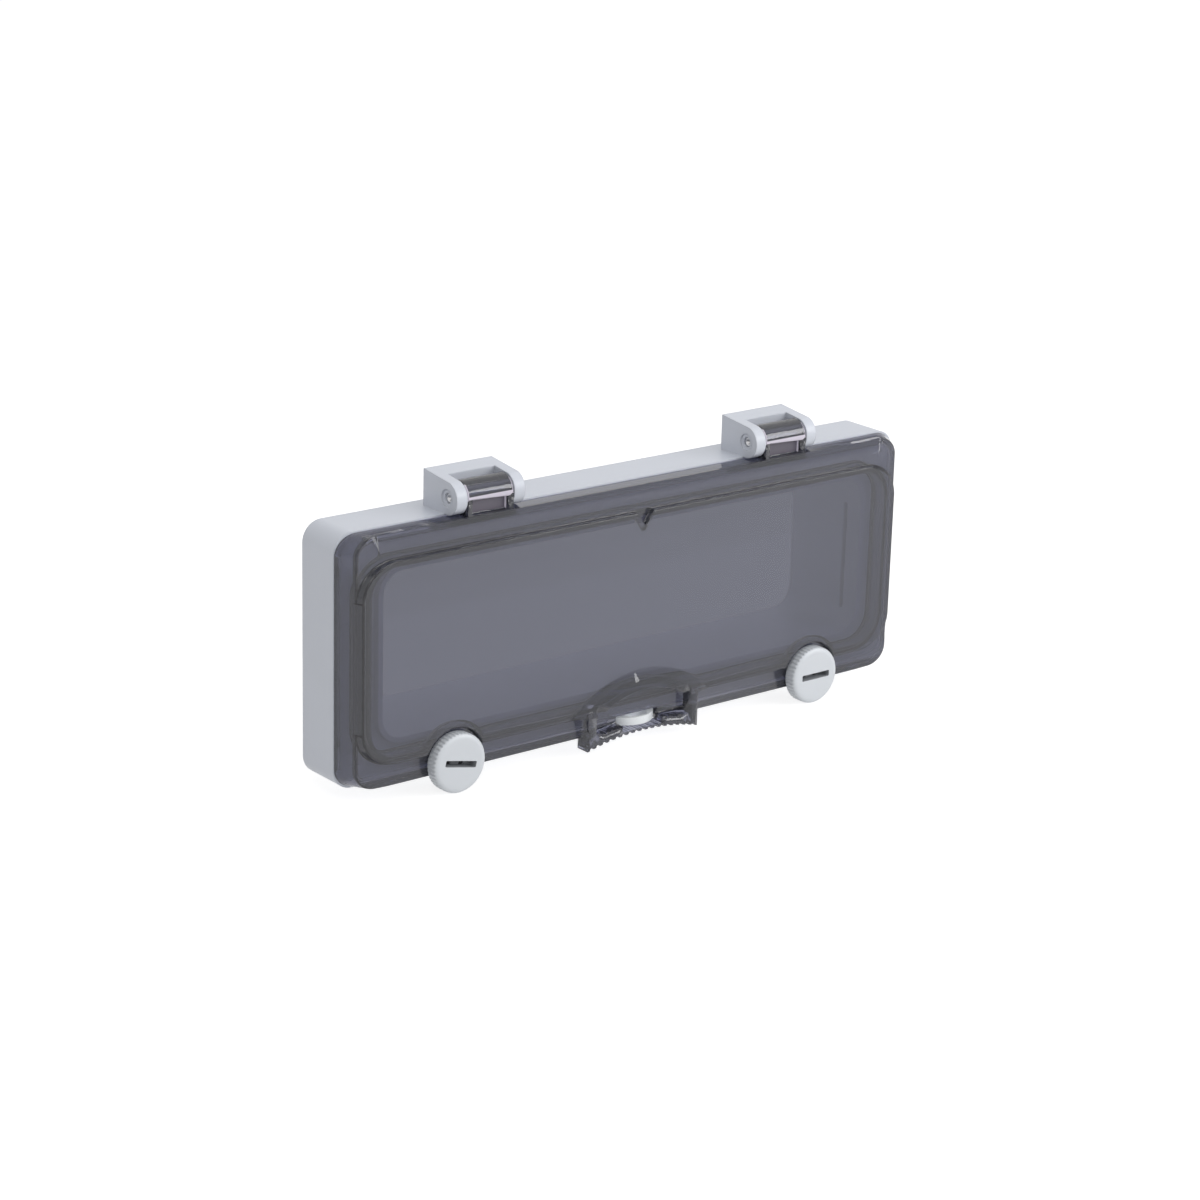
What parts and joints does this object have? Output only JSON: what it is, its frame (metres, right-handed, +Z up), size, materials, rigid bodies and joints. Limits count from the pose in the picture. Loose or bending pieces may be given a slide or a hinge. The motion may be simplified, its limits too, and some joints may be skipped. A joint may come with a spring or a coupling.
{
  "type": "hinged module window enclosure cover",
  "caption": "Wide hinged inspection window: a grey flanged frame with a panel collar, a smoked lid on pinned hinges, and coin-slot quarter-turn knobs that latch it.",
  "frame": {"origin": "centre of the frame on the plane of its rear rim, the face that lies on the panel", "axes": "+X to the right seen from the front, +Y away from the viewer into the panel, +Z up; the window faces -Y and the hinges are on top"},
  "size_m": [0.2746, 0.0519, 0.1202],
  "materials": {
    "frame_grey": "fine moulded light grey",
    "knob_grey": "satin moulded light grey",
    "tab_white": "glossy moulded off-white",
    "smoked_pc": "clear smoked polycarbonate",
    "seal_rubber": "matte black",
    "steel": "drawn stainless steel"
  },
  "bodies": {
    "frame": {"base_frame": "frame_grey", "panel_gasket": "seal_rubber", "lid_gasket": "seal_rubber", "seal_tab": "tab_white", "mounting_screws": "steel", "mounting_washers": "seal_rubber", "screw_caps": "knob_grey", "hinge_pin_left": "steel", "hinge_pin_right": "steel"},
    "lid": {"lid": "smoked_pc"},
    "left_knob": {"knob_left": "knob_grey", "knob_o_ring_left": "seal_rubber", "knob_retainer_left": "steel", "latch_cam_left": "steel", "cam_screw_left": "steel"},
    "right_knob": {"knob_right": "knob_grey", "knob_o_ring_right": "seal_rubber", "knob_retainer_right": "steel", "latch_cam_right": "steel", "cam_screw_right": "steel"}
  },
  "joints": [
    {"name": "lid_swing", "type": "hinge", "parent": "frame", "child": "lid", "pos_m": [0, -0.0217, 0.0556], "axis": [-1, 0, 0], "range_deg": [0, 150]},
    {"name": "left_knob_turn", "type": "hinge", "parent": "lid", "child": "left_knob", "pos_m": [-0.089, -0.0283, -0.0447], "axis": [0, 1, 0], "range_deg": [0, 90]},
    {"name": "right_knob_turn", "type": "hinge", "parent": "lid", "child": "right_knob", "pos_m": [0.089, -0.0283, -0.0447], "axis": [0, 1, 0], "range_deg": [0, 90]}
  ]
}
